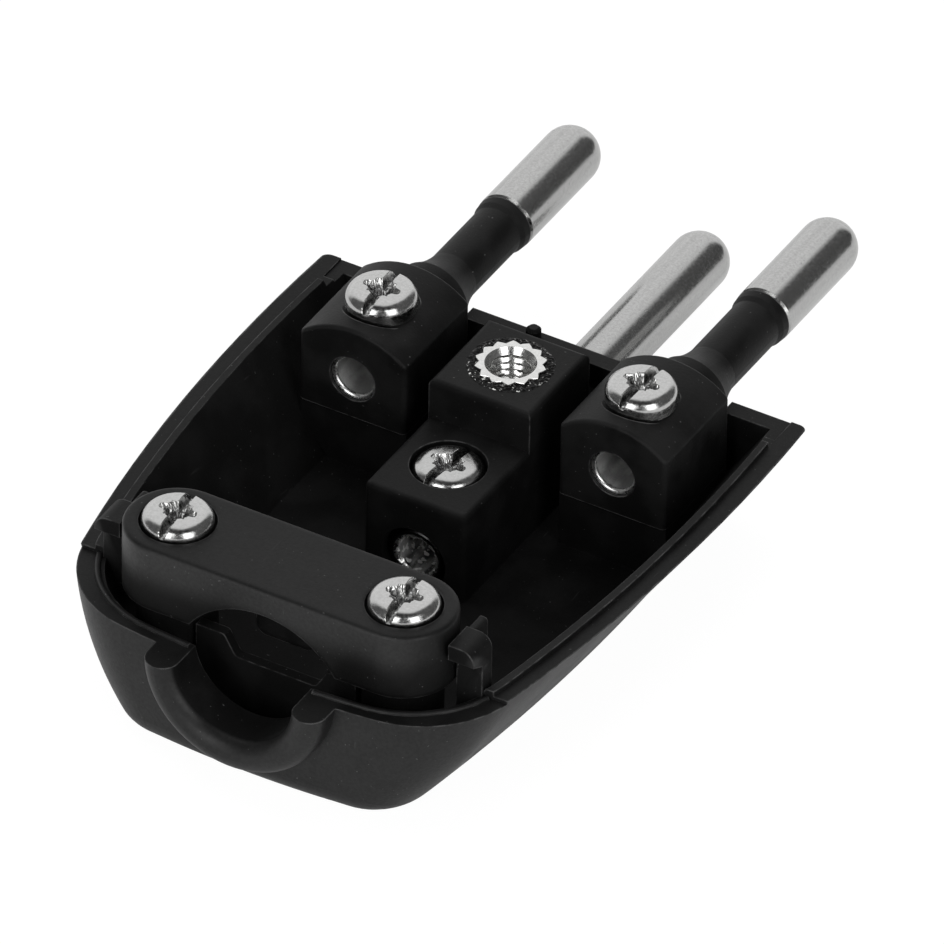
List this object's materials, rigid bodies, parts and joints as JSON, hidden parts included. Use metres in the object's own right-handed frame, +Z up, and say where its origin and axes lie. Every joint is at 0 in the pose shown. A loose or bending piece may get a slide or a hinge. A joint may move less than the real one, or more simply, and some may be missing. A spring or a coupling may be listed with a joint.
{
  "type": "type j plug",
  "caption": "Open rewirable type J mains plug: moulded half-shell with insulated round pins, screw terminals, a threaded insert for the cover and a screwed cable clamp.",
  "frame": {"origin": "on the flat underside, midway across the shell and midway between its front face and its rear wall", "axes": "+Y along the pins towards their tips, +X to the neutral side, +Z up out of the open side"},
  "size_m": [0.036, 0.0615, 0.0145],
  "materials": {
    "shell_plastic": "black moulded plastic, fine spark-eroded grain outside, smoother inside",
    "insulator_plastic": "black moulded plastic, half matt",
    "plated_pin": "nickel-plated brass, drawn lengthwise, bright",
    "plated_insert": "nickel-plated brass, bright",
    "plated_screw": "bright zinc-plated steel"
  },
  "bodies": {
    "root": {"base_shell": "shell_plastic", "cable_clamp": "shell_plastic", "line_insulator": "insulator_plastic", "neutral_insulator": "insulator_plastic", "line_pin": "plated_pin", "neutral_pin": "plated_pin", "earth_pin": "plated_pin", "line_screw": "plated_screw", "neutral_screw": "plated_screw", "earth_screw": "plated_screw", "clamp_screw_left": "plated_screw", "clamp_screw_right": "plated_screw", "cover_insert": "plated_insert"}
  },
  "joints": []
}
